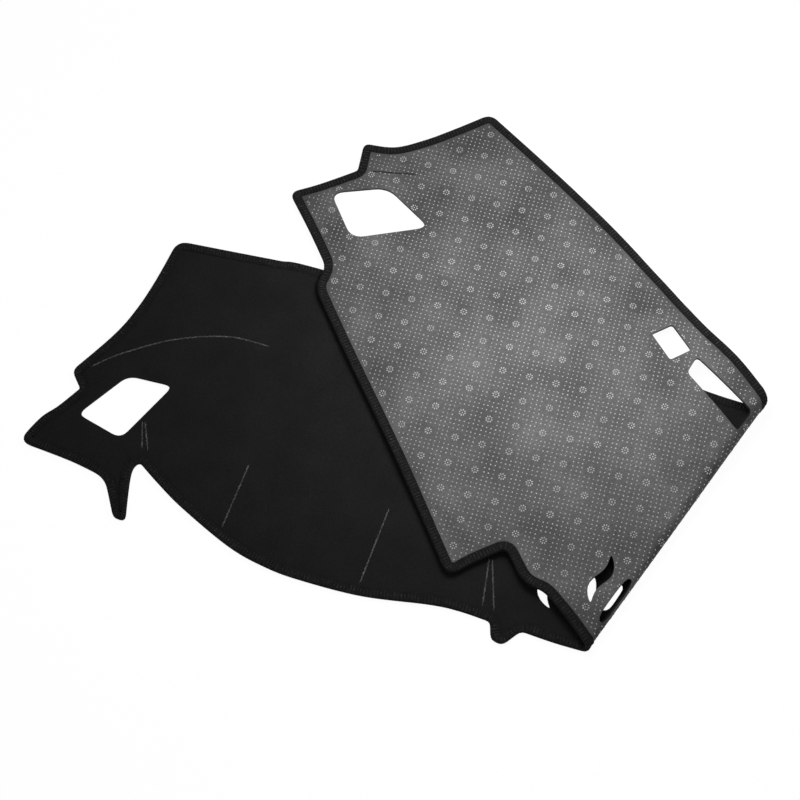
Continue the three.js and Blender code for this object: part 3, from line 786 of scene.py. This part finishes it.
def clothMaterial(name, look):
    # flecks of fibre over slow blotches, between a dark and a light colour; on the overlock yarn the light
    # flecks and blotches are partly painted highlights
    material = bpy.data.materials.new(name)
    material.use_nodes = True
    nodes, links = material.node_tree.nodes, material.node_tree.links
    shader = nodes["Principled BSDF"]
    shader.inputs["Roughness"].default_value = look["roughness"]
    shader.inputs["Specular IOR Level"].default_value = look["specular"]
    shader.inputs["Sheen Weight"].default_value = look["sheen"]
    shader.inputs["Sheen Roughness"].default_value = 0.5
    fibres = nodes.new("ShaderNodeGroup")
    fibres.node_tree = mattedFibres
    fibres.inputs["Fibre Size"].default_value = look["fibreSize"]
    fibres.inputs["Blotch Size"].default_value = look["blotchSize"]
    fibres.inputs["Stretch"].default_value = look["stretch"]
    fleckRamp = nodes.new("ShaderNodeValToRGB")
    fleckRamp.color_ramp.elements[0].position = look["fleckRange"][0]
    fleckRamp.color_ramp.elements[1].position = look["fleckRange"][1]
    fleckRamp.color_ramp.elements[0].color = (*look["dark"], 1)
    fleckRamp.color_ramp.elements[1].color = (*look["light"], 1)
    links.new(fibres.outputs["Fleck"], fleckRamp.inputs["Fac"])
    shade = nodes.new("ShaderNodeMapRange")
    shade.inputs["From Min"].default_value = 0.3
    shade.inputs["From Max"].default_value = 0.7
    shade.inputs["To Min"].default_value = 1 - look["blotchDepth"]
    shade.inputs["To Max"].default_value = 1 + look["blotchDepth"]
    links.new(fibres.outputs["Blotch"], shade.inputs["Value"])
    mix = nodes.new("ShaderNodeVectorMath")
    mix.operation = "SCALE"
    links.new(fleckRamp.outputs["Color"], mix.inputs[0])
    links.new(shade.outputs["Result"], mix.inputs["Scale"])
    links.new(mix.outputs["Vector"], shader.inputs["Base Color"])
    bump = nodes.new("ShaderNodeBump")
    bump.inputs["Strength"].default_value = look["bump"]
    bump.inputs["Distance"].default_value = look["bumpDistance"]
    links.new(fibres.outputs["Height"], bump.inputs["Height"])
    links.new(bump.outputs["Normal"], shader.inputs["Normal"])
    return material


looks = {
    "needleFelt": {
        "dark": (0.0065, 0.0065, 0.007), "light": (0.023, 0.023, 0.024), "fleckRange": (0.35, 0.72),
        "roughness": 0.95, "specular": 0.25, "sheen": 0.05, "fibreSize": 900, "blotchSize": 22,
        "stretch": (1, 1, 1), "blotchDepth": 0.16, "bump": 0.6, "bumpDistance": 0.0006,
    },
    "nonWoven": {
        "dark": (0.052, 0.054, 0.054), "light": (0.168, 0.171, 0.17), "fleckRange": (0.3, 0.7),
        "roughness": 0.62, "specular": 0.4, "sheen": 0.0, "fibreSize": 620, "blotchSize": 14,
        "stretch": (1, 0.35, 1), "blotchDepth": 0.38, "bump": 0.45, "bumpDistance": 0.0005,
    },
    "bindingTape": {
        "dark": (0.003, 0.003, 0.0032), "light": (0.015, 0.015, 0.016), "fleckRange": (0.35, 0.7),
        "roughness": 0.9, "specular": 0.3, "sheen": 0.05, "fibreSize": 420, "blotchSize": 120,
        "stretch": (1, 1, 1), "blotchDepth": 0.4, "bump": 0.7, "bumpDistance": 0.0007,
    },
    # overlock yarn: the light flecks and uneven blotches are partly the yarn's own fibres and partly
    # painted highlights, glints of light on its wraps
    "overlockYarnPaintedHighlights": {
        "dark": (0.004, 0.004, 0.004), "light": (0.075, 0.075, 0.077), "fleckRange": (0.46, 0.74),
        "roughness": 0.8, "specular": 0.4, "sheen": 0.1, "fibreSize": 260, "blotchSize": 90,
        "stretch": (1, 1, 1), "blotchDepth": 0.5, "bump": 0.6, "bumpDistance": 0.0005,
    },
    "gripPvc": {
        "dark": (0.55, 0.56, 0.56), "light": (0.8, 0.81, 0.81), "fleckRange": (0.3, 0.7),
        "roughness": 0.42, "specular": 0.5, "sheen": 0.0, "fibreSize": 180, "blotchSize": 40,
        "stretch": (1, 1, 1), "blotchDepth": 0.12, "bump": 0.15, "bumpDistance": 0.0002,
    },
    "seamThread": {
        "dark": (0.035, 0.035, 0.037), "light": (0.2, 0.2, 0.21), "fleckRange": (0.38, 0.7),
        "roughness": 0.85, "specular": 0.3, "sheen": 0.1, "fibreSize": 500, "blotchSize": 150,
        "stretch": (1, 1, 1), "blotchDepth": 0.5, "bump": 0.5, "bumpDistance": 0.0004,
    },
    "darkSeamThread": {
        "dark": (0.01, 0.01, 0.01), "light": (0.05, 0.05, 0.05), "fleckRange": (0.4, 0.7),
        "roughness": 0.85, "specular": 0.3, "sheen": 0.0, "fibreSize": 500, "blotchSize": 150,
        "stretch": (1, 1, 1), "blotchDepth": 0.4, "bump": 0.5, "bumpDistance": 0.0004,
    },
}
cloth = {name: clothMaterial(name, look) for name, look in looks.items()}

finish = [
    (felt, "needleFelt", "felt"),
    (backing, "nonWoven", "backing"),
    (edgeBinding, "bindingTape", "tape"),
    (overlockThread, "overlockYarnPaintedHighlights", "tape"),
    (gripDots, "gripPvc", "backing"),
    (gripRings, "gripPvc", "backing"),
]
for node, piece in seamPieces.items():
    finish.append((piece, "darkSeamThread" if node == "notch_seam" else "seamThread", "thread"))
for piece, material, slot in finish:
    piece.data.materials.append(cloth[material])
    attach(piece, "root")

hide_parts("felt_face")
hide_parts("anti_slip_backing")
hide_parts("edge_binding")
for node, piece in seamPieces.items():
    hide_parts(node)
print("materials")

# A pale floor and sky that the camera sees as white, and soft lamps that it does not see.
studio = {
    "floorColour": (0.82, 0.82, 0.82),
    "floorGlow": 0.88,
    "glowStrength": 1.09,
    "worldStrength": 0.21,
    "lamps": {   # place, aim, size, power
        "keyLamp": [(0.9, 1.2, 2.2), (0, 0, 0), 1.6, 4],
        "fillLamp": [(-1.6, -1.2, 2.0), (0, 0, 0), 2.2, 3],
        "nearLamp": [(0.19, 0.09, 0.43), (0.19, 0.09, 0), 0.3, 1.9],
    },
}

floorMesh = bpy.data.meshes.new("studioFloor")
floorMesh.from_pydata([(-8, -8, 0), (8, -8, 0), (8, 8, 0), (-8, 8, 0)], [], [(0, 1, 2, 3)])
floor = bpy.data.objects.new("studioFloor", floorMesh)
bpy.context.scene.collection.objects.link(floor)
floorMaterial = bpy.data.materials.new("paleFloor")
floorMaterial.use_nodes = True
nodes, links = floorMaterial.node_tree.nodes, floorMaterial.node_tree.links
nodes["Principled BSDF"].inputs["Base Color"].default_value = (*studio["floorColour"], 1)
nodes["Principled BSDF"].inputs["Roughness"].default_value = 0.9
glow = nodes.new("ShaderNodeEmission")
glow.inputs["Strength"].default_value = studio["glowStrength"]
path = nodes.new("ShaderNodeLightPath")
share = nodes.new("ShaderNodeMath")
share.operation = "MULTIPLY"
share.inputs[1].default_value = studio["floorGlow"]
blend = nodes.new("ShaderNodeMixShader")
links.new(path.outputs["Is Camera Ray"], share.inputs[0])
links.new(share.outputs[0], blend.inputs["Fac"])
links.new(nodes["Principled BSDF"].outputs[0], blend.inputs[1])
links.new(glow.outputs[0], blend.inputs[2])
links.new(blend.outputs[0], nodes["Material Output"].inputs["Surface"])
floor.data.materials.append(floorMaterial)

world = bpy.data.worlds.new("studioWorld")
world.use_nodes = True
nodes, links = world.node_tree.nodes, world.node_tree.links
nodes["Background"].inputs["Color"].default_value = (1, 1, 1, 1)
path = nodes.new("ShaderNodeLightPath")
strength = nodes.new("ShaderNodeMath")
strength.operation = "MULTIPLY_ADD"
strength.inputs[1].default_value = 1 - studio["worldStrength"]
strength.inputs[2].default_value = studio["worldStrength"]
links.new(path.outputs["Is Camera Ray"], strength.inputs[0])
links.new(strength.outputs[0], nodes["Background"].inputs["Strength"])
bpy.context.scene.world = world

for name, (lampPlace, aim, size, power) in studio["lamps"].items():
    lampData = bpy.data.lights.new(name, "AREA")
    lampData.size = size
    lampData.energy = power
    lamp = bpy.data.objects.new(name, lampData)
    lamp.location = lampPlace
    lamp.rotation_euler = (Vector(aim) - Vector(lampPlace)).to_track_quat("-Z", "Y").to_euler()
    lamp.visible_camera = False
    bpy.context.scene.collection.objects.link(lamp)
print("studio")
